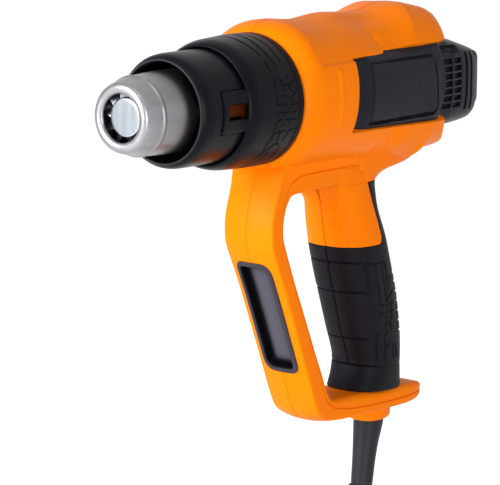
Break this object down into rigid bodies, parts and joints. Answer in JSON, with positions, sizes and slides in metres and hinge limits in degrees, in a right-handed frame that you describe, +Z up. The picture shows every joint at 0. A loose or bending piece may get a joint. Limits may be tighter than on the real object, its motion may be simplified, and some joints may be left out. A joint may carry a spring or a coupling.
{
  "type": "hot air tool",
  "caption": "Pistol-shaped hot air gun with a closed D handle, slide switch, steel nozzle in a pull-off guard, and a mains cord that hangs down to a tied coil and plug.",
  "frame": {"origin": "middle of the hand grip, on the tool centre plane", "axes": "+X from the nozzle to the rear cap along the barrel, +Y to the right side of the tool, +Z up; the left side faces -Y"},
  "size_m": [0.2608, 0.0756, 0.4591],
  "materials": {
    "steel": "brushed stainless, heat tinted towards the guard",
    "zinc": "zinc-plated screws and pressed parts",
    "orange": "fine satin moulded nylon",
    "black": "fine moulded texture",
    "rubber": "soft overmoulded rubber with a tread pattern",
    "cord": "smooth rubber jacket",
    "mica": "rolled mica sheet",
    "ceramic": "unglazed ceramic",
    "wire": "oxidised resistance wire",
    "natural": "uncoloured nylon",
    "copper": "copper windings on a steel armature",
    "magnet": "sintered ferrite",
    "board": "soldered circuit board"
  },
  "bodies": {
    "body": {"nozzle_tube": "steel", "nozzle_deflector": "steel", "mica_sleeve": "mica", "heater_core": "ceramic", "heater_winding": "wire", "heater_holder": "zinc", "collar": "black", "housing_left": "orange", "housing_right": "orange", "grip_left": "rubber", "grip_right": "rubber", "grip_skirt": "black", "bar_inlay": "black", "side_panel_left": "black", "side_panel_right": "black", "rear_cap": "black", "fan_shroud": "natural", "motor_mount": "natural", "motor_can": "zinc", "motor_magnet_left": "magnet", "motor_magnet_right": "magnet", "rectifier_board": "board", "switch_body": "black", "switch_bezel": "black", "terminal_block": "natural", "cord_clamp": "natural", "clamp_screw_left": "zinc", "clamp_screw_right": "zinc", "housing_screw_1": "zinc", "housing_screw_2": "zinc", "housing_screw_3": "zinc", "housing_screw_4": "zinc", "housing_screw_5": "zinc", "housing_screw_6": "zinc", "cord_inner": "cord", "cord_boot": "cord", "cord_lead": "cord", "cord_coil": "cord", "coil_tie": "black", "cord_tail": "cord", "plug_body": "cord", "plug_pin_left": "zinc", "plug_pin_right": "zinc"},
    "rotor": {"fan_impeller": "black", "motor_rotor": "copper"},
    "switch": {"switch_slider": "orange"},
    "guard": {"nozzle_guard": "black"}
  },
  "joints": [
    {"name": "fan_spin", "type": "hinge", "parent": "body", "child": "rotor", "pos_m": [-0.038, 0, 0.108], "axis": [1, 0, 0], "continuous": true},
    {"name": "switch_slide", "type": "slide", "parent": "body", "child": "switch", "axis": [-0.3714, 0, 0.9285], "range_m": [0, 0.008]},
    {"name": "guard_slide", "type": "slide", "parent": "body", "child": "guard", "axis": [-1, 0, 0], "range_m": [0, 0.04]}
  ]
}
